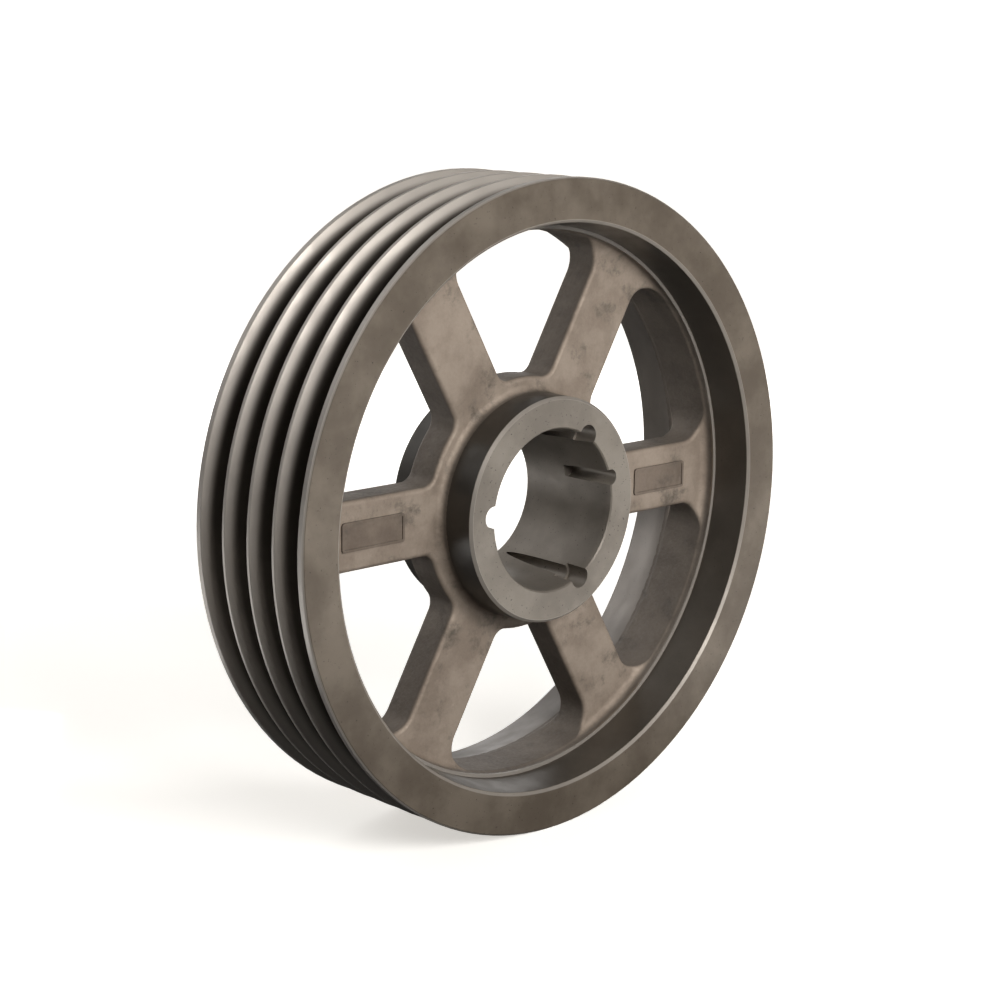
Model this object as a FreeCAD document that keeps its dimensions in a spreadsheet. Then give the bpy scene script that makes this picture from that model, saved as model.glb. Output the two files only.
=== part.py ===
"""Four-groove V-belt pulley with six arms and a taper-bush bore, cast in one piece.

The pulley turns about Y, its front face looks along -Y, and the origin is on the axis at the middle of the rim.
The casting is modelled as its own sections, cut where one wall meets the next, so each section is one solid.
"""

import FreeCAD, Part
import math
import os

import Sketcher

doc = FreeCAD.newDocument("pulley")

# ---------------------------------------------------------------- driving sizes, in millimetres and degrees

SIZES = {
    # narrow 25N groove section for four belts
    "outer_radius": 254.0,
    "groove_pitch": 28.6,
    "edge_to_groove": 19.0,
    "groove_top_width": 25.4,
    "groove_depth": 25.2,
    "groove_half_angle": 20.0,
    "groove_count": 4,
    "rim_chamfer": 1.5,
    "land_chamfer": 0.5,
    # underside of the rim
    "face_inner_radius": 222.2,
    "recess_chamfer": 2.0,
    "recess_floor_radius": 216.0,
    "recess_depth": 32.4,
    "cast_wall_radius": 213.5,
    "rear_lip_radius": 222.0,
    "rear_chamfer": 5.0,
    # web, arms and windows
    "web_front": 20.0,
    "web_rear": 9.5,
    "arm_count": 6,
    "arm_width": 53.5,
    "arm_start": 114.0,
    "arm_end": 184.0,
    "arm_edge_round": 4.0,
    "window_inner_radius": 100.0,
    "window_outer_radius": 212.0,
    "window_inner_corner": 12.0,
    "window_outer_corner": 20.0,
    "front_cast_round": 7.8,
    "rear_cast_round": 10.0,
    # hub for a 3535 taper bush
    "hub_radius": 88.0,
    "hub_front": 53.0,
    "hub_length": 89.0,
    "hub_chamfer": 2.0,
    "hub_cast_round": 6.0,
    "bore_radius": 63.5,
    "bore_half_taper": 4.0,
    "bore_chamfer": 1.0,
    "hole_circle_radius": 64.3,
    "tapped_radius": 6.35,
    "tapped_depth": 85.0,
    "screw_head_radius": 8.8,
    "screw_head_depth": 20.0,
    "removal_depth": 47.0,
    "first_screw_angle": 57.0,
    "removal_angle": 16.0,
    # plain panels cast on two arms
    "panel_length": 60.0,
    "panel_width": 22.0,
    "panel_height": 1.4,
    "panel_border": 2.0,
    "panel_sink": 0.8,
    "panel_corner": 2.5,
    "panel_middle": 155.0,
}

sheet = doc.addObject("Spreadsheet::Sheet", "sizes")
for row, (alias, value) in enumerate(SIZES.items(), start=1):
    sheet.set(f"A{row}", alias)
    sheet.set(f"B{row}", str(value))
    sheet.setAlias(f"B{row}", alias)
doc.recompute()

# Expressions that several sections share.
HALF_WIDTH = "((sizes.groove_count - 1) * sizes.groove_pitch / 2 + sizes.edge_to_groove)"
ROOT_RADIUS = "(sizes.outer_radius - sizes.groove_depth)"
HALF_TOP = "(sizes.groove_top_width / 2)"
HALF_ROOT = "(sizes.groove_top_width / 2 - sizes.groove_depth * tan(sizes.groove_half_angle * 1 deg))"
HUB_REAR = "(sizes.hub_length - sizes.hub_front)"
BORE_DROP = "(sizes.hub_length * tan(sizes.bore_half_taper * 1 deg))"
ARM_PITCH = 360.0 / SIZES["arm_count"]


# ---------------------------------------------------------------- helpers for bodies and sketches


def new_body(label):
    body = doc.addObject("PartDesign::Body", label)
    body.Label = label
    return body


def new_sketch(body, name, plane):
    sketch = body.newObject("Sketcher::SketchObject", name)
    origin_plane = next(o for o in body.Origin.OriginFeatures if o.Role == plane)
    sketch.AttachmentSupport = (origin_plane, "")
    sketch.MapMode = "FlatFace"
    return sketch


def new_front_sketch(body, name, forward):
    """A sketch parallel to the rim's faces, forward of the middle of the rim; it looks along -Y."""
    sketch = new_sketch(body, name, "XZ_Plane")
    sketch.setExpression(".AttachmentOffset.Base.z", forward)
    doc.recompute()
    return sketch


def fix_point(sketch, geometry, which, across, along):
    """Ties one end of a sketch element to two expressions: its signed distances from the sketch's origin."""
    for kind, expression in (("DistanceX", across), ("DistanceY", along)):
        value = sketch.evalExpression(expression)
        index = sketch.addConstraint(Sketcher.Constraint(kind, -1, 1, geometry, which, float(value)))
        sketch.setExpression(f"Constraints[{index}]", expression)


def outline(sketch, corners):
    """A closed outline through its corners. A corner is (across, along); one that an arc arrives at is
    (across, along, radius, turn), where turn is 1 for an anticlockwise arc and -1 for a clockwise one."""
    places = [FreeCAD.Vector(*[float(sketch.evalExpression(e)) for e in corner[:2]], 0) for corner in corners]
    arrivals = []
    for i, corner in enumerate(corners):
        start, end = places[i - 1], places[i]
        if len(corner) == 2:
            sketch.addGeometry(Part.LineSegment(start, end))
            arrivals.append(2)
            continue
        radius = float(sketch.evalExpression(corner[2]))
        chord = end - start
        left = FreeCAD.Vector(-chord.y, chord.x, 0).normalize() * corner[3]
        middle = (start + end) / 2 + left * math.sqrt(radius ** 2 - (chord.Length / 2) ** 2)
        first, last = (start, end) if corner[3] > 0 else (end, start)
        angles = [math.atan2(p.y - middle.y, p.x - middle.x) for p in (first, last)]
        circle = Part.Circle(middle, FreeCAD.Vector(0, 0, 1), radius)
        arc = sketch.addGeometry(Part.ArcOfCircle(circle, angles[0], angles[1]))
        index = sketch.addConstraint(Sketcher.Constraint("Radius", arc, radius))
        sketch.setExpression(f"Constraints[{index}]", corner[2])
        arrivals.append(2 if corner[3] > 0 else 1)
    for i, corner in enumerate(corners):
        before = (i - 1) % len(corners)
        fix_point(sketch, i, arrivals[i], corner[0], corner[1])
        sketch.addConstraint(Sketcher.Constraint("Coincident", before, arrivals[before], i, 3 - arrivals[i]))


def turned_body(label, corners):
    """A body turned about Y from an outline of (radius, distance along Y)."""
    body = new_body(label)
    sketch = new_sketch(body, f"{label}_outline", "XY_Plane")
    outline(sketch, corners)
    turn = body.newObject("PartDesign::Revolution", f"{label}_turn")
    turn.Profile = sketch
    turn.ReferenceAxis = (sketch, ["V_Axis"])
    turn.Angle = 360.0
    sketch.Visibility = False
    doc.recompute()
    return body


def cut(body, sketch, name, depth):
    """A pocket from the sketch into the body, which must take something away."""
    before = body.Shape.Volume
    pocket = body.newObject("PartDesign::Pocket", name)
    pocket.Profile = sketch
    pocket.setExpression("Length", depth)
    sketch.Visibility = False
    doc.recompute()
    if before - body.Shape.Volume < 1.0:
        raise RuntimeError(f"{name} cuts nothing")


def round_edges(body, wanted, alias):
    """Fillets the edges of the body's last feature that wanted(edge) picks out."""
    base = body.Tip
    names = [f"Edge{i}" for i, edge in enumerate(base.Shape.Edges, start=1) if wanted(edge)]
    fillet = body.newObject("PartDesign::Fillet", f"{body.Name}_{alias}")
    fillet.Base = (base, names)
    fillet.setExpression("Radius", f"sizes.{alias}")
    doc.recompute()
    return len(names)


# ---------------------------------------------------------------- rim: band under the grooves, and its five ribs


def make_rim_band():
    front = f"-{HALF_WIDTH}"
    floor = f"-{HALF_WIDTH} + sizes.recess_depth"
    wall_end = "sizes.web_rear + sizes.rear_cast_round"
    return turned_body("rim_band", [
        (ROOT_RADIUS, front),
        (ROOT_RADIUS, HALF_WIDTH),
        ("sizes.rear_lip_radius + sizes.rear_chamfer", HALF_WIDTH),
        ("sizes.rear_lip_radius", f"{HALF_WIDTH} - sizes.rear_chamfer"),
        ("sizes.cast_wall_radius", wall_end),
        ("sizes.cast_wall_radius", floor),
        ("sizes.recess_floor_radius", floor),
        ("sizes.face_inner_radius - sizes.recess_chamfer", f"{front} + sizes.recess_chamfer"),
        ("sizes.face_inner_radius", front),
    ])


def make_flange(label, side):
    """The rib at one end of the rim: flat on its outer face, and one groove wall on the other."""
    face = f"{side} * {HALF_WIDTH}"
    groove = f"{side} * ({HALF_WIDTH} - sizes.edge_to_groove"
    return turned_body(label, [
        (ROOT_RADIUS, face),
        ("sizes.outer_radius - sizes.rim_chamfer", face),
        ("sizes.outer_radius", f"{side} * ({HALF_WIDTH} - sizes.rim_chamfer)"),
        ("sizes.outer_radius", f"{groove} + {HALF_TOP} + sizes.land_chamfer)"),
        ("sizes.outer_radius - sizes.land_chamfer", f"{groove} + {HALF_TOP})"),
        (ROOT_RADIUS, f"{groove} + {HALF_ROOT})"),
    ])


def make_groove_rib(number):
    """The rib between two grooves, counted from the front."""
    middle = f"(-{HALF_WIDTH} + sizes.edge_to_groove + {number - 0.5} * sizes.groove_pitch)"
    root = f"(sizes.groove_pitch / 2 - {HALF_ROOT})"
    land = f"(sizes.groove_pitch / 2 - {HALF_TOP})"
    return turned_body(f"groove_rib_{number}", [
        (ROOT_RADIUS, f"{middle} - {root}"),
        ("sizes.outer_radius - sizes.land_chamfer", f"{middle} - {land}"),
        ("sizes.outer_radius", f"{middle} - {land} + sizes.land_chamfer"),
        ("sizes.outer_radius", f"{middle} + {land} - sizes.land_chamfer"),
        ("sizes.outer_radius - sizes.land_chamfer", f"{middle} + {land}"),
        (ROOT_RADIUS, f"{middle} + {root}"),
    ])


# ---------------------------------------------------------------- web: its outer ring, hub ring and six arms


def cut_windows(body):
    """Cuts the windows between the arms, each with two arm sides, two arcs about the axis and four round corners."""
    sketch = new_sketch(body, f"{body.Name}_window", "XZ_Plane")
    half = SIZES["arm_width"] / 2
    pitch = math.radians(ARM_PITCH)
    near, far = SIZES["window_inner_radius"], SIZES["window_outer_radius"]
    near_round, far_round = SIZES["window_inner_corner"], SIZES["window_outer_corner"]
    centre, up = FreeCAD.Vector(0, 0, 0), FreeCAD.Vector(0, 0, 1)

    def mirrored(point):
        length, angle = math.hypot(point.x, point.y), pitch - math.atan2(point.y, point.x)
        return FreeCAD.Vector(length * math.cos(angle), length * math.sin(angle), 0)

    def arc_through(middle, start, end):
        radius = (start - middle).Length
        angles = [math.atan2(p.y - middle.y, p.x - middle.x) for p in (start, end)]
        return sketch.addGeometry(Part.ArcOfCircle(Part.Circle(middle, up, radius), angles[0], angles[1]))

    def corner(arc_radius, reach, radius):
        middle = FreeCAD.Vector(math.sqrt(reach ** 2 - (half + radius) ** 2), half + radius, 0)
        return middle, FreeCAD.Vector(middle.x, half, 0), middle * (arc_radius / middle.Length)

    low = corner(near, near + near_round, near_round)
    high = corner(far, far - far_round, far_round)
    low_far, high_far = [[mirrored(p) for p in points] for points in (low, high)]
    first = sketch.addGeometry(Part.LineSegment(low[1], high[1]))
    first_out = arc_through(high[0], high[1], high[2])
    outer_arc = arc_through(centre, high[2], high_far[2])
    second_out = arc_through(high_far[0], high_far[2], high_far[1])
    second = sketch.addGeometry(Part.LineSegment(high_far[1], low_far[1]))
    second_in = arc_through(low_far[0], low_far[1], low_far[2])
    inner_arc = arc_through(centre, low[2], low_far[2])
    first_in = arc_through(low[0], low[2], low[1])
    middle_line = sketch.addGeometry(Part.LineSegment(
        centre, FreeCAD.Vector(far * math.cos(pitch), far * math.sin(pitch), 0)), True)
    rules = [
        ("Coincident", outer_arc, 3, -1, 1),
        ("Coincident", inner_arc, 3, -1, 1),
        ("Coincident", middle_line, 1, -1, 1),
        ("Tangent", first, 2, first_out, 1),
        ("Tangent", first_out, 2, outer_arc, 1),
        ("Tangent", outer_arc, 2, second_out, 1),
        ("Tangent", second_out, 2, second, 1),
        ("Tangent", second, 2, second_in, 1),
        ("Tangent", second_in, 2, inner_arc, 2),
        ("Tangent", inner_arc, 1, first_in, 1),
        ("Tangent", first_in, 2, first, 1),
        ("Horizontal", first),
        ("Parallel", second, middle_line),
    ]
    for rule in rules:
        sketch.addConstraint(Sketcher.Constraint(*rule))
    driven = [
        (("DistanceY", -1, 1, first, 1), "sizes.arm_width / 2"),
        (("Distance", second, 1, middle_line), "sizes.arm_width / 2"),
        (("Radius", outer_arc), "sizes.window_outer_radius"),
        (("Radius", inner_arc), "sizes.window_inner_radius"),
        (("Radius", first_out), "sizes.window_outer_corner"),
        (("Radius", second_out), "sizes.window_outer_corner"),
        (("Radius", first_in), "sizes.window_inner_corner"),
        (("Radius", second_in), "sizes.window_inner_corner"),
        (("Distance", middle_line), "sizes.window_outer_radius"),
        (("Angle", -1, 1, middle_line, 1), "360 deg / sizes.arm_count"),
    ]
    for rule, expression in driven:
        value = pitch if rule[0] == "Angle" else float(sketch.evalExpression(expression))
        index = sketch.addConstraint(Sketcher.Constraint(*rule, value))
        sketch.setExpression(f"Constraints[{index}]", expression)
    pocket = body.newObject("PartDesign::Pocket", f"{body.Name}_window_cut")
    pocket.Profile = sketch
    pocket.Type = 1
    pocket.Midplane = True
    sketch.Visibility = False
    doc.recompute()
    pattern = body.newObject("PartDesign::PolarPattern", f"{body.Name}_windows")
    pattern.Originals = [pocket]
    pattern.Axis = (sketch, ["N_Axis"])
    pattern.Angle = 360.0
    pattern.setExpression("Occurrences", "sizes.arm_count")
    body.Tip = pattern
    doc.recompute()


def is_axial(edge):
    """A straight edge along Y, as the corner of a window is."""
    along = edge.Vertexes[-1].Point - edge.Vertexes[0].Point
    return len(edge.Vertexes) == 2 and edge.Length > 1.0 and abs(abs(along.y) - edge.Length) < 1e-6


def on_window_rim(edge, inside, outside):
    """An edge that borders a window in front of or behind the web, away from the two cut radii."""
    points = [edge.valueAt(edge.FirstParameter + share * (edge.LastParameter - edge.FirstParameter))
              for share in (0.0, 0.5, 1.0)]
    faced = all(p.y < 0.1 - SIZES["web_front"] for p in points) or all(p.y > SIZES["web_rear"] - 0.1 for p in points)
    middle = math.hypot(points[1].x, points[1].z)
    return faced and inside + 1e-3 < middle < outside - 1e-3


def make_hub_web():
    """The hub end of the web: a ring with six stubs, blended into the hub in front and behind."""
    hub, blend = "sizes.hub_radius", "sizes.hub_cast_round"
    body = turned_body("hub_web", [
        (hub, f"-sizes.web_front - {blend}"),
        (f"{hub} + {blend}", "-sizes.web_front", blend, -1),
        ("sizes.arm_start", "-sizes.web_front"),
        ("sizes.arm_start", "sizes.web_rear"),
        (f"{hub} + {blend}", "sizes.web_rear"),
        (hub, f"sizes.web_rear + {blend}", blend, -1),
    ])
    cut_windows(body)
    inner = SIZES["window_inner_radius"] - 0.5
    round_edges(body, lambda e: on_window_rim(e, inner, SIZES["arm_start"]), "arm_edge_round")
    return body


def make_rim_web():
    """The rim end of the web: six stubs and a thin ring, blended into the rim in front and behind."""
    wall, front, rear = "sizes.cast_wall_radius", "sizes.front_cast_round", "sizes.rear_cast_round"
    body = turned_body("rim_web", [
        ("sizes.arm_end", "sizes.web_rear"),
        ("sizes.arm_end", "-sizes.web_front"),
        (f"{wall} - {front}", "-sizes.web_front"),
        (wall, f"-sizes.web_front - {front}", front, -1),
        (wall, f"sizes.web_rear + {rear}"),
        (f"{wall} - {rear}", "sizes.web_rear", rear, -1),
    ])
    cut_windows(body)
    outer = SIZES["window_outer_radius"] + 0.5
    round_edges(body, lambda e: on_window_rim(e, SIZES["arm_end"], outer), "arm_edge_round")
    return body


def make_arm(number):
    """One straight arm, numbered anticlockwise from the one along +X as seen from the front."""
    body = new_body(f"arm_{number}")
    sketch = new_front_sketch(body, f"arm_{number}_outline", "sizes.web_front")
    half = SIZES["arm_width"] / 2
    centre, up = FreeCAD.Vector(0, 0, 0), FreeCAD.Vector(0, 0, 1)
    tilt = [math.asin(half / SIZES[name]) for name in ("arm_start", "arm_end")]
    reach = [SIZES[name] * math.cos(t) for name, t in zip(("arm_start", "arm_end"), tilt)]
    low = sketch.addGeometry(Part.LineSegment(
        FreeCAD.Vector(reach[0], -half, 0), FreeCAD.Vector(reach[1], -half, 0)))
    end = sketch.addGeometry(Part.ArcOfCircle(
        Part.Circle(centre, up, SIZES["arm_end"]), -tilt[1], tilt[1]))
    top = sketch.addGeometry(Part.LineSegment(
        FreeCAD.Vector(reach[1], half, 0), FreeCAD.Vector(reach[0], half, 0)))
    start = sketch.addGeometry(Part.ArcOfCircle(
        Part.Circle(centre, up, SIZES["arm_start"]), -tilt[0], tilt[0]))
    rules = [
        ("Coincident", end, 3, -1, 1),
        ("Coincident", start, 3, -1, 1),
        ("Coincident", low, 2, end, 1),
        ("Coincident", top, 1, end, 2),
        ("Coincident", low, 1, start, 1),
        ("Coincident", top, 2, start, 2),
        ("Horizontal", low),
        ("Horizontal", top),
    ]
    for rule in rules:
        sketch.addConstraint(Sketcher.Constraint(*rule))
    driven = [
        (("DistanceY", low, 1, -1, 1), "sizes.arm_width / 2"),
        (("DistanceY", -1, 1, top, 1), "sizes.arm_width / 2"),
        (("Radius", end), "sizes.arm_end"),
        (("Radius", start), "sizes.arm_start"),
    ]
    for rule, expression in driven:
        index = sketch.addConstraint(Sketcher.Constraint(*rule, float(sketch.evalExpression(expression))))
        sketch.setExpression(f"Constraints[{index}]", expression)
    pad = body.newObject("PartDesign::Pad", f"arm_{number}_pad")
    pad.Profile = sketch
    pad.Reversed = True
    pad.setExpression("Length", "sizes.web_front + sizes.web_rear")
    sketch.Visibility = False
    doc.recompute()
    inside, outside = SIZES["arm_start"], SIZES["arm_end"]
    round_edges(body, lambda e: on_window_rim(e, inside, outside), "arm_edge_round")
    body.Placement = FreeCAD.Placement(
        FreeCAD.Vector(), FreeCAD.Rotation(FreeCAD.Vector(0, 1, 0), -(number - 1) * ARM_PITCH))
    return body


# ---------------------------------------------------------------- hub barrel with its tapered bore


def drill(body, name, radius, depth, angles):
    """Round holes from the front face of the hub, centred on the circle of the bush's screws."""
    sketch = new_front_sketch(body, f"{name}_circles", "sizes.hub_front")
    for angle in angles:
        place = [f"sizes.hole_circle_radius * {turn}(({angle}) * 1 deg)" for turn in ("cos", "sin")]
        middle = FreeCAD.Vector(*[float(sketch.evalExpression(e)) for e in place], 0)
        circle = sketch.addGeometry(Part.Circle(middle, FreeCAD.Vector(0, 0, 1), SIZES[radius]))
        fix_point(sketch, circle, 3, *place)
        index = sketch.addConstraint(Sketcher.Constraint("Radius", circle, SIZES[radius]))
        sketch.setExpression(f"Constraints[{index}]", f"sizes.{radius}")
    cut(body, sketch, f"{name}_drilling", f"sizes.{depth}")


def make_hub_barrel():
    """The hub: a tapered bore, three tapped half-holes for the bush's screws and one blind removal half-hole."""
    front = "-sizes.hub_front"
    slope = "tan(sizes.bore_half_taper * 1 deg)"
    body = turned_body("hub_barrel", [
        ("sizes.bore_radius + sizes.bore_chamfer", front),
        ("sizes.hub_radius - sizes.hub_chamfer", front),
        ("sizes.hub_radius", f"{front} + sizes.hub_chamfer"),
        ("sizes.hub_radius", f"{HUB_REAR} - sizes.hub_chamfer"),
        ("sizes.hub_radius - sizes.hub_chamfer", HUB_REAR),
        (f"sizes.bore_radius - {BORE_DROP} + sizes.bore_chamfer", HUB_REAR),
        (f"sizes.bore_radius - {BORE_DROP} + sizes.bore_chamfer * {slope}", f"{HUB_REAR} - sizes.bore_chamfer"),
        (f"sizes.bore_radius - sizes.bore_chamfer * {slope}", f"{front} + sizes.bore_chamfer"),
    ])
    screws = [f"sizes.first_screw_angle + {turn}" for turn in (0, 120, 240)]
    drill(body, "screw_head", "screw_head_radius", "screw_head_depth", screws)
    drill(body, "tapped", "tapped_radius", "tapped_depth", screws)
    drill(body, "removal", "tapped_radius", "removal_depth", ["sizes.removal_angle"])
    return body


# ---------------------------------------------------------------- plain marking panels on two arms


def make_panel(label, side):
    """A blank raised panel with a low border, cast on the front of an arm."""
    body = new_body(label)
    frame = new_front_sketch(body, f"{label}_frame", "sizes.web_front")
    floor = new_front_sketch(body, f"{label}_floor", "sizes.web_front + sizes.panel_height")
    half = ("sizes.panel_length / 2", "sizes.panel_width / 2")
    middle = f"{side} * sizes.panel_middle"
    for sketch, inset in ((frame, "0"), (floor, "sizes.panel_border")):
        outline(sketch, [
            (f"{middle} - ({half[0]} - {inset})", f"-({half[1]} - {inset})"),
            (f"{middle} + ({half[0]} - {inset})", f"-({half[1]} - {inset})"),
            (f"{middle} + ({half[0]} - {inset})", f"{half[1]} - {inset}"),
            (f"{middle} - ({half[0]} - {inset})", f"{half[1]} - {inset}"),
        ])
        sketch.Visibility = False
    pad = body.newObject("PartDesign::Pad", f"{label}_pad")
    pad.Profile = frame
    pad.setExpression("Length", "sizes.panel_height")
    doc.recompute()
    round_edges(body, is_axial, "panel_corner")
    cut(body, floor, f"{label}_sink", "sizes.panel_sink")
    return body


# ---------------------------------------------------------------- build, test and write the sections

sections = [make_rim_band(), make_flange("front_flange", -1)]
sections += [make_groove_rib(number) for number in range(1, SIZES["groove_count"])]
sections += [make_flange("rear_flange", 1), make_rim_web()]
sections += [make_arm(number) for number in range(1, SIZES["arm_count"] + 1)]
sections += [make_hub_web(), make_hub_barrel()]
sections += [make_panel("right_arm_panel", 1), make_panel("left_arm_panel", -1)]

doc.recompute()
for item in doc.Objects:
    if "Invalid" in item.State or "Error" in item.State:
        raise RuntimeError(f"{item.Name} failed: {item.State}")
for section in sections:
    shape = section.Shape
    if shape.isNull() or not shape.isValid() or len(shape.Solids) != 1:
        raise RuntimeError(f"{section.Label} is not one valid solid")

os.makedirs("parts", exist_ok=True)
for section in sections:
    section.Shape.exportStep(f"parts/{section.Label}.step")
    print(section.Label, round(section.Shape.Volume / 1000, 1), "cm3")
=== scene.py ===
"""A four-groove V-belt pulley: one grey-iron casting, turned on the rim, hub and bore, then phosphated."""

import math

import bpy
from mathutils import Matrix, Vector


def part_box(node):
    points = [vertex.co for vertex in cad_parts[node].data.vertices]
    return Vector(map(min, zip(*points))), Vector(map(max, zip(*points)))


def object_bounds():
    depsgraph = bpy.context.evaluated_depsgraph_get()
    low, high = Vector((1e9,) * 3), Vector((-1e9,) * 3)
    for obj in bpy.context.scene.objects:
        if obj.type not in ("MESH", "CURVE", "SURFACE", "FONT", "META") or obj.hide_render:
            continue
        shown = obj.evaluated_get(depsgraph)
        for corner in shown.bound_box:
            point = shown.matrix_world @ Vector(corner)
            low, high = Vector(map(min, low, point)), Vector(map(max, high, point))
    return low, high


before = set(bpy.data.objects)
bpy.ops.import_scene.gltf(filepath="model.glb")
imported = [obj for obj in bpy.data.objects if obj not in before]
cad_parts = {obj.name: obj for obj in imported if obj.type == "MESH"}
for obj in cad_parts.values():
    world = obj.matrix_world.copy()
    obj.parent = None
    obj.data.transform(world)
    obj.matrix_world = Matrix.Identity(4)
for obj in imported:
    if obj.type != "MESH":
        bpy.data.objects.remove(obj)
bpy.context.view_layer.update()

# ---------------------------------------------------------------- grooved rim: two flanges and three ribs
# Two flanges and three ribs stand up from the rim and leave four V-grooves for the belts. They are grey iron,
# turned on a lathe after casting, so they carry fine rings. A phosphate bath then leaves a dark, cloudy skin.
# The groove walls carry a painted shade, and the lands and outermost edges carry a painted highlight.

rim_low, rim_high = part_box("front_flange")
outer_radius = rim_high.x
half_width = -rim_low.y
GROOVE_REACH = 0.0290
LAND_HIGHLIGHT_REACH = 0.0075
EDGE_HIGHLIGHT_REACH = 0.0012
RING_PITCH = 0.00035
RING_DEPTH = 0.000004
GRAIN_DEPTH = 0.00001
TURNED_METAL = 0.3
RIM_ROUGHNESS = 0.38

DARK_PHOSPHATE = (0.130, 0.104, 0.079)
PALE_PHOSPHATE = (0.205, 0.170, 0.133)
PIT_BROWN = (0.055, 0.046, 0.038)
# Dark colour for painted shade in the grooves, the recess and on the hub.
GROOVE_SHADE = (0.055, 0.048, 0.040)
# Pale colour for painted highlights on lands and edges.
HIGHLIGHT_PALE = (0.46, 0.42, 0.38)

SHARP_ANGLE = math.radians(18.0)
WELD_DISTANCE = 1e-6


class Finish:
    """A surface finish: one shader, and the nodes that feed its sockets."""

    def __init__(self, name):
        self.material = bpy.data.materials.new(name)
        self.material.use_nodes = True
        self.nodes = self.material.node_tree.nodes
        self.links = self.material.node_tree.links
        self.shader = next(node for node in self.nodes if node.type == "BSDF_PRINCIPLED")

    def feed(self, socket, value):
        """Puts a number, a colour or another node's output into a socket."""
        if isinstance(value, (int, float)):
            socket.default_value = value
        elif isinstance(value, tuple):
            socket.default_value = (*value, 1.0)
        else:
            self.links.new(value, socket)

    def coat(self, **values):
        """Feeds the shader's own sockets: base_color=..., roughness=... and so on."""
        for name, value in values.items():
            self.feed(self.shader.inputs[name.replace("_", " ").title()], value)

    def noise(self, point, scale, detail=4.0, roughness=0.55):
        texture = self.nodes.new("ShaderNodeTexNoise")
        self.feed(texture.inputs["Scale"], scale)
        self.feed(texture.inputs["Detail"], detail)
        self.feed(texture.inputs["Roughness"], roughness)
        self.feed(texture.inputs["Vector"], point)
        return texture.outputs["Fac"]

    def spread(self, value, low, high, out_low=0.0, out_high=1.0):
        """The part of a value between low and high, stretched to run from out_low to out_high."""
        stretch = self.nodes.new("ShaderNodeMapRange")
        stretch.interpolation_type = "SMOOTHSTEP"
        limits = {"From Min": low, "From Max": high, "To Min": out_low, "To Max": out_high}
        for name, number in limits.items():
            self.feed(stretch.inputs[name], number)
        self.feed(stretch.inputs["Value"], value)
        return stretch.outputs["Result"]

    def mix(self, share, first, second):
        """The first colour, with a share of the second laid over it."""
        blend = self.nodes.new("ShaderNodeMix")
        blend.data_type = "RGBA"
        colours = [socket for socket in blend.inputs if socket.type == "RGBA"]
        self.feed(blend.inputs["Factor"], share)
        self.feed(colours[0], first)
        self.feed(colours[1], second)
        return next(socket for socket in blend.outputs if socket.type == "RGBA")

    def combine(self, operation, *values):
        node = self.nodes.new("ShaderNodeMath")
        node.operation = operation
        for socket, value in zip(node.inputs, values):
            self.feed(socket, value)
        return node.outputs[0]

    def place(self):
        """The point on the part, its distance from the axis, and its distance along the axis."""
        point = self.nodes.new("ShaderNodeTexCoord").outputs["Object"]
        split = self.nodes.new("ShaderNodeSeparateXYZ")
        self.feed(split.inputs[0], point)
        across = self.combine("POWER", split.outputs["X"], 2.0)
        upright = self.combine("POWER", split.outputs["Z"], 2.0)
        radius = self.combine("SQRT", self.combine("ADD", across, upright))
        return point, radius, split.outputs["Y"]

    def band(self, value, start, end, fade):
        """1 where the value lies between start and end, and 0 elsewhere."""
        rise = self.spread(value, start - fade, start + fade)
        fall = self.spread(value, end - fade, end + fade, 1.0, 0.0)
        return self.combine("MULTIPLY", rise, fall)

    def bump(self, height, distance, strength=1.0, under=None):
        node = self.nodes.new("ShaderNodeBump")
        self.feed(node.inputs["Strength"], strength)
        self.feed(node.inputs["Distance"], distance)
        self.feed(node.inputs["Height"], height)
        if under is not None:
            self.feed(node.inputs["Normal"], under)
        return node.outputs["Normal"]


def zone(colour, share, radii, depths, radius_fade=0.0002, depth_fade=0.0003):
    """A ring of another colour, between two distances from the axis and two places along it.

    Its limits lie a little past the faces that it covers, and short of the faces beside them.
    """
    return colour, share, (*radii, radius_fade), (*depths, depth_fade)


def turned_iron(name, dark, pale, roughness, zones):
    """Cloudy phosphate with small pits, lathe rings, and the given zones of painted shade and painted
    highlight.
    """
    finish = Finish(name)
    point, radius, along = finish.place()
    clouds = finish.noise(point, scale=16.0, detail=5.0, roughness=0.6)
    cloudy = finish.mix(finish.spread(clouds, 0.36, 0.66), dark, pale)
    pits = finish.spread(finish.noise(point, scale=520.0, detail=2.0), 0.66, 0.76)
    skin = finish.mix(pits, cloudy, PIT_BROWN)
    for colour, share, radii, depths in zones:
        inside = finish.combine("MULTIPLY", finish.band(radius, *radii), finish.band(along, *depths))
        skin = finish.mix(finish.combine("MULTIPLY", inside, share), skin, colour)
    rings = finish.nodes.new("ShaderNodeTexNoise")
    rings.noise_dimensions = "1D"
    finish.feed(rings.inputs["Scale"], 1.0 / RING_PITCH)
    finish.feed(rings.inputs["Detail"], 3.0)
    finish.feed(rings.inputs["W"], finish.combine("ADD", radius, along))
    ringed = finish.bump(rings.outputs["Fac"], RING_DEPTH)
    grained = finish.bump(finish.noise(point, scale=900.0, detail=3.0), GRAIN_DEPTH, 0.6, ringed)
    smears = finish.noise(point, scale=45.0, detail=4.0)
    gloss = finish.spread(smears, 0.3, 0.7, roughness - 0.06, roughness + 0.08)
    finish.coat(base_color=skin, normal=grained, roughness=gloss, metallic=TURNED_METAL)
    return finish.material


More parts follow.
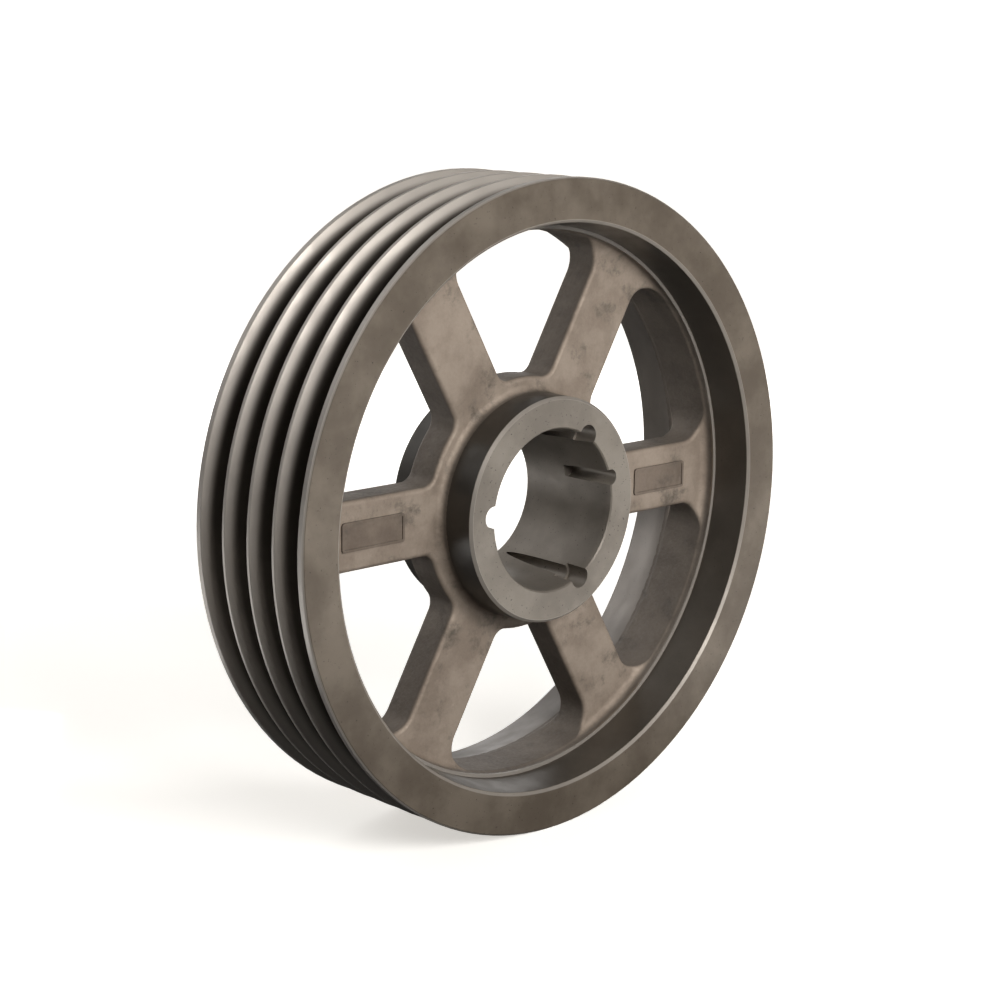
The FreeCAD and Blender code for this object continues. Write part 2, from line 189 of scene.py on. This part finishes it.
def smoothing_tree():
    """Welds a node's loose triangles and shades them smooth, with a crease at each real edge."""
    tree = bpy.data.node_groups.new("smooth_faces", "GeometryNodeTree")
    tree.interface.new_socket("Geometry", in_out="INPUT", socket_type="NodeSocketGeometry")
    tree.interface.new_socket("Weld Distance", in_out="INPUT", socket_type="NodeSocketFloat")
    tree.interface.new_socket("Sharp Angle", in_out="INPUT", socket_type="NodeSocketFloat")
    tree.interface.new_socket("Geometry", in_out="OUTPUT", socket_type="NodeSocketGeometry")
    entry = tree.nodes.new("NodeGroupInput").outputs
    leave = tree.nodes.new("NodeGroupOutput").inputs
    weld = tree.nodes.new("GeometryNodeMergeByDistance")
    soften = tree.nodes.new("GeometryNodeSetShadeSmooth")
    crease = tree.nodes.new("GeometryNodeSetShadeSmooth")
    crease.domain = "EDGE"
    crease.inputs["Shade Smooth"].default_value = False
    edge_angle = tree.nodes.new("GeometryNodeInputMeshEdgeAngle")
    is_sharp = tree.nodes.new("FunctionNodeCompare")
    for source, target in (
            (entry["Geometry"], weld.inputs["Geometry"]),
            (entry["Weld Distance"], weld.inputs["Distance"]),
            (weld.outputs["Geometry"], soften.inputs["Geometry"]),
            (soften.outputs["Geometry"], crease.inputs["Geometry"]),
            (edge_angle.outputs["Unsigned Angle"], is_sharp.inputs["A"]),
            (entry["Sharp Angle"], is_sharp.inputs["B"]),
            (is_sharp.outputs["Result"], crease.inputs["Selection"]),
            (crease.outputs["Geometry"], leave["Geometry"])):
        tree.links.new(source, target)
    return tree


smooth_faces = smoothing_tree()


def dress(node, material):
    """Gives a CAD node its finish, with its curved faces shaded smooth and its real edges left sharp."""
    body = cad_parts[node]
    body.data.materials.clear()
    body.data.materials.append(material)
    modifier = body.modifiers.new("smooth_faces", "NODES")
    modifier.node_group = smooth_faces
    sizes = {"Weld Distance": WELD_DISTANCE, "Sharp Angle": SHARP_ANGLE}
    for socket in smooth_faces.interface.items_tree:
        if socket.name in sizes:
            modifier[socket.identifier] = sizes[socket.name]


# Painted shade: the groove walls are darkened, for the shade deep in the grooves.
groove_wall_shade = zone(GROOVE_SHADE, 0.75, (outer_radius - GROOVE_REACH, outer_radius + 0.0005),
                    (0.0009 - half_width, half_width - 0.0009))
# Painted highlight: the lands between the grooves are lightened nearly to the pale colour.
land_highlight = zone(HIGHLIGHT_PALE, 0.95, (outer_radius - LAND_HIGHLIGHT_REACH, outer_radius + 0.0020),
                  (0.0011 - half_width, half_width - 0.0011), radius_fade=0.0035)
# Painted highlight: a thin pale line along the outermost edges of the rim.
edge_highlight = zone(HIGHLIGHT_PALE, 0.60, (outer_radius - EDGE_HIGHLIGHT_REACH, outer_radius + 0.0005),
                  (-half_width - 0.0001, half_width + 0.0001), radius_fade=0.0003)
rim_iron = turned_iron("rim_turned_iron", DARK_PHOSPHATE, PALE_PHOSPHATE, RIM_ROUGHNESS,
                       [groove_wall_shade, land_highlight, edge_highlight])
for node in ("front_flange", "groove_rib_1", "groove_rib_2", "groove_rib_3", "rear_flange"):
    dress(node, rim_iron)

# ---------------------------------------------------------------- rim band
# The band joins the ribs under the grooves and carries the web inside it. It is part of the same casting,
# turned in front of the web, where a recess ends in a narrow shoulder, and left rough and greyer behind it.

RECESS_MOUTH = 0.2222
RECESS_FLOOR = 0.2160
SHOULDER_DEPTH = -0.0295
REAR_WALL = 0.2135
REAR_GREY = (0.215, 0.200, 0.190)

# Painted shade: the recess wall in front of the shoulder is darkened.
recess_wall_shade = zone(GROOVE_SHADE, 0.76, (REAR_WALL - 0.0005, RECESS_MOUTH + 0.0078),
                   (0.0019 - half_width, SHOULDER_DEPTH + 0.0005), depth_fade=0.0004)
# Painted highlight: a thin pale line round the mouth of the recess.
mouth_highlight = zone(HIGHLIGHT_PALE, 0.55, (RECESS_MOUTH - 0.0019, RECESS_MOUTH + 0.0004),
                  (-half_width - 0.0006, 0.0019 - half_width))
# Painted highlight: a thin pale line along the shoulder at the back of the recess.
shoulder_highlight = zone(HIGHLIGHT_PALE, 0.60, (REAR_WALL - 0.0001, RECESS_FLOOR + 0.0002),
                     (SHOULDER_DEPTH - 0.0005, SHOULDER_DEPTH + 0.0009))
rough_wall = zone(REAR_GREY, 0.45, (REAR_WALL - 0.0005, RECESS_MOUTH + 0.0003),
                  (0.0190, half_width - 0.0029), depth_fade=0.0004)
band_iron = turned_iron("rim_band_iron", DARK_PHOSPHATE, PALE_PHOSPHATE, RIM_ROUGHNESS,
                        [recess_wall_shade, mouth_highlight, shoulder_highlight, rough_wall])
dress("rim_band", band_iron)

# ---------------------------------------------------------------- web and six arms
# Six flat arms run from the web's outer ring to its inner ring, with the windows between them. They keep the
# skin of the sand mould, which is grainy, a little lumpy and paler than the turned faces. The walls of the
# windows and the sides of the arms carry a painted shade.

CAST_BROWN = (0.245, 0.195, 0.154)
CAST_PALE = (0.350, 0.287, 0.232)
CAST_STAIN = (0.120, 0.100, 0.080)
SIDE_WALL_SHADE = (0.095, 0.084, 0.073)
SIDE_SHADE_SHARE = 0.65
LUMP_DEPTH = 0.0014
SAND_DEPTH = 0.00022
CAST_METAL = 0.35
ARMS = 6


def cast_skin(name, brown, pale):
    """Cloudy, stained sand-cast iron, with painted shade on the walls that don't face along the pulley's
    axis.
    """
    finish = Finish(name)
    point, _, _ = finish.place()
    clouds = finish.noise(point, scale=22.0, detail=6.0, roughness=0.62)
    cloudy = finish.mix(finish.spread(clouds, 0.38, 0.66), brown, pale)
    stains = finish.spread(finish.noise(point, scale=38.0, detail=6.0, roughness=0.7), 0.52, 0.74)
    stained = finish.mix(stains, cloudy, CAST_STAIN)
    # Painted shade: the less a wall faces along the axis, the more it is darkened towards a dark grey.
    facing = finish.nodes.new("ShaderNodeSeparateXYZ")
    finish.feed(facing.inputs[0], finish.nodes.new("ShaderNodeTexCoord").outputs["Normal"])
    frontal = finish.combine("ABSOLUTE", facing.outputs["Y"])
    skin = finish.mix(finish.spread(frontal, 0.25, 0.75, SIDE_SHADE_SHARE, 0.0), stained, SIDE_WALL_SHADE)
    sand = finish.noise(point, scale=420.0, detail=4.0, roughness=0.6)
    lumpy = finish.bump(finish.noise(point, scale=60.0, detail=3.0, roughness=0.5), LUMP_DEPTH)
    sandy = finish.bump(sand, SAND_DEPTH, 1.0, lumpy)
    gloss = finish.spread(sand, 0.3, 0.7, 0.56, 0.72)
    finish.coat(base_color=skin, normal=sandy, roughness=gloss, metallic=CAST_METAL)
    return finish.material


web_skin = cast_skin("web_cast_skin", CAST_BROWN, CAST_PALE)
for node in ("rim_web", *(f"arm_{number}" for number in range(1, ARMS + 1)), "hub_web"):
    dress(node, web_skin)

# ---------------------------------------------------------------- two marking panels
# A low raised panel stands on the left arm and another on the right. They are cast with the arms, where a
# foundry puts its marks. These two are blank, and their skin is darker than the arms'.

PANEL_BROWN = (0.150, 0.116, 0.090)
PANEL_PALE = (0.215, 0.170, 0.135)

panel_skin = cast_skin("panel_cast_skin", PANEL_BROWN, PANEL_PALE)
for node in ("right_arm_panel", "left_arm_panel"):
    dress(node, panel_skin)

# ---------------------------------------------------------------- hub
# The hub is the thick barrel at the centre of the casting, turned on its faces, its outside and its tapered
# bore. Its face comes out paler than the rim's. Its outside carries a painted shade, the bore a lighter one,
# and the outer edge of its face a thin painted highlight.

hub_low, hub_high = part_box("hub_barrel")
hub_radius = hub_high.x
BORE_RADIUS = 0.0635
HUB_DARK = (0.195, 0.170, 0.143)
HUB_PALE = (0.275, 0.243, 0.206)
HUB_ROUGHNESS = 0.40

# Painted shade: the outside of the hub is darkened almost fully.
hub_side_shade = zone(GROOVE_SHADE, 0.95, (hub_radius - 0.0008, hub_radius + 0.0010),
                (hub_low.y + 0.0025, hub_high.y - 0.0020), radius_fade=0.0003, depth_fade=0.0004)
# Painted shade: the bore is darkened a little.
bore_shade = zone(GROOVE_SHADE, 0.25, (BORE_RADIUS - 0.0095, BORE_RADIUS - 0.0003),
                 (hub_low.y + 0.0002, hub_high.y), depth_fade=0.0004)
# Painted highlight: a thin pale line round the outer edge of the hub's face.
hub_face_highlight = zone(HIGHLIGHT_PALE, 0.45, (hub_radius - 0.0024, hub_radius + 0.0002),
                 (hub_low.y - 0.0005, hub_low.y + 0.0022), radius_fade=0.0003)
hub_iron = turned_iron("hub_turned_iron", HUB_DARK, HUB_PALE, HUB_ROUGHNESS, [hub_side_shade, bore_shade, hub_face_highlight])
dress("hub_barrel", hub_iron)

# ---------------------------------------------------------------- floor and backdrop
# The pulley stands on a plain pale studio floor inside a plain white room. Both glow, and neither lights the
# pulley: the lamps and the two cards below do that. The backdrop glows evenly. The floor's warm glow is
# weaker near the pulley, a painted shade round it, so that the lamps' shadows there come out darker and warm.

ROOM = 30.0
FLOOR_GLOW = 0.60
FLOOR_WARMTH = (1.0, 0.965, 0.91)
FAR_GLOW = 1.1
NEAR_FLOOR = 0.5
FAR_FLOOR = 2.5
BACKDROP_GLOW = 1.1
STUDIO_WHITE = (0.9, 0.9, 0.89)


def stage_piece(name, corners, faces, glow, colour=(1.0, 1.0, 1.0)):
    """A plain glowing surface that isn't part of the pulley."""
    finish = Finish(name)
    finish.coat(base_color=STUDIO_WHITE, roughness=0.9, emission_color=colour, emission_strength=glow)
    mesh = bpy.data.meshes.new(name)
    mesh.from_pydata(corners, [], faces)
    mesh.materials.append(finish.material)
    piece = bpy.data.objects.new(name, mesh)
    bpy.context.scene.collection.objects.link(piece)
    return piece, finish


low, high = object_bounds()
square = [(-ROOM, -ROOM), (ROOM, -ROOM), (ROOM, ROOM), (-ROOM, ROOM)]
ground = [(x, y, low.z) for x, y in square]
floor, paint = stage_piece("floor", ground, [(0, 1, 2, 3)], FLOOR_GLOW, FLOOR_WARMTH)
# Painted shade: the floor's glow stays low within half a metre of the pulley and rises further away.
away = paint.nodes.new("ShaderNodeVectorMath")
away.operation = "LENGTH"
paint.feed(away.inputs[0], paint.nodes.new("ShaderNodeTexCoord").outputs["Object"])
brightening = paint.spread(away.outputs["Value"], NEAR_FLOOR, FAR_FLOOR, FLOOR_GLOW, FAR_GLOW)
paint.coat(emission_strength=brightening)

walls = [(x, y, z) for z in (low.z - 1.0, ROOM) for x, y in square]
wall_faces = [(0, 1, 5, 4), (1, 2, 6, 5), (2, 3, 7, 6), (3, 0, 4, 7), (4, 5, 6, 7)]
backdrop, _ = stage_piece("backdrop", walls, wall_faces, BACKDROP_GLOW)
backdrop.visible_shadow = False
for piece in (floor, backdrop):
    piece.visible_diffuse = False
    piece.visible_glossy = False

# ---------------------------------------------------------------- two bounce cards
# Two white cards lie on the floor, unseen by the camera, and throw light up at the pulley: one in front for
# the flat faces of the rim and the hub, and one at the left for the undersides of the ribs.

CARD_LIFT = 0.004
FRONT_CARD = [(0.02, -0.34), (0.62, -0.02), (2.10, -1.40), (0.70, -2.30)]
FRONT_CARD_GLOW = 0.55
SIDE_CARD = [(-0.46, 0.00), (-1.60, 0.40), (-1.00, 1.50), (-0.14, 0.44)]
SIDE_CARD_GLOW = 1.1

for name, outline, glow in (
        ("front_card", FRONT_CARD, FRONT_CARD_GLOW),
        ("side_card", SIDE_CARD, SIDE_CARD_GLOW)):
    card, _ = stage_piece(name, [(x, y, low.z + CARD_LIFT) for x, y in outline], [(0, 1, 2, 3)], glow)
    card.visible_camera = False
    card.visible_shadow = False

# ---------------------------------------------------------------- lamps
# Four large soft panels are aimed at the hub: the main one in front, a weaker one overhead towards the back,
# and two weak ones behind, which light the inside of the rim. The room itself adds almost nothing.

DAYLIGHT = (1.0, 0.99, 0.98)
WARM_WHITE = (1.0, 0.985, 0.96)
ROOM_LIGHT = 0.05


def soft_light(name, stand, size, power, colour):
    lamp = bpy.data.lights.new(name, "AREA")
    lamp.shape = "RECTANGLE"
    lamp.size, lamp.size_y = size
    lamp.energy = power
    lamp.color = colour
    holder = bpy.data.objects.new(name, lamp)
    holder.location = stand
    holder.rotation_euler = (-Vector(stand)).to_track_quat("-Z", "Y").to_euler()
    holder.visible_camera = False
    bpy.context.scene.collection.objects.link(holder)


soft_light("front_light", (-0.15, -2.20, 1.00), (1.7, 0.8), 60.0, WARM_WHITE)
soft_light("overhead_light", (-0.45, 1.55, 1.45), (2.2, 1.5), 10.5, DAYLIGHT)
soft_light("rear_light", (-0.30, 2.60, 0.55), (1.8, 1.0), 13.0, DAYLIGHT)
soft_light("back_right_light", (1.60, 1.60, 0.55), (1.8, 1.2), 9.0, DAYLIGHT)

world = bpy.data.worlds.new("studio")
world.use_nodes = True
sky = world.node_tree.nodes["Background"]
sky.inputs["Color"].default_value = (1.0, 1.0, 1.0, 1.0)
sky.inputs["Strength"].default_value = ROOM_LIGHT
bpy.context.scene.world = world

# ---------------------------------------------------------------- camera
# The camera stands to the left of the pulley's front, a little above its axis, and is aimed at the hub. It is
# turned a degree about that axis, so that the arms lean slightly, and moved a little aside to centre the rim.

CAMERA_LENS = 76.9
CAMERA_DISTANCE = 1.676
CAMERA_AZIMUTH = math.radians(-43.86)
CAMERA_ELEVATION = math.radians(12.95)
CAMERA_LEAN = math.radians(-1.1)
CAMERA_LEFT = 0.0053
CAMERA_DOWN = 0.0006

camera = bpy.data.cameras.new("camera")
camera.sensor_width = 36.0
camera.lens = CAMERA_LENS
right = Vector((math.cos(CAMERA_AZIMUTH), math.sin(CAMERA_AZIMUTH), 0.0))
ahead = Vector((-math.sin(CAMERA_AZIMUTH), math.cos(CAMERA_AZIMUTH), 0.0))
back = Vector((0.0, 0.0, math.sin(CAMERA_ELEVATION))) - ahead * math.cos(CAMERA_ELEVATION)
up = back.cross(right)
turn = Matrix((right, up, back)).transposed().to_4x4()
stand = Matrix.Translation(back * CAMERA_DISTANCE - right * CAMERA_LEFT - up * CAMERA_DOWN)
holder = bpy.data.objects.new("camera", camera)
holder.matrix_world = Matrix.Rotation(CAMERA_LEAN, 4, "Y") @ stand @ turn
bpy.context.scene.collection.objects.link(holder)
bpy.context.scene.camera = holder
bpy.context.scene.view_settings.view_transform = "Standard"
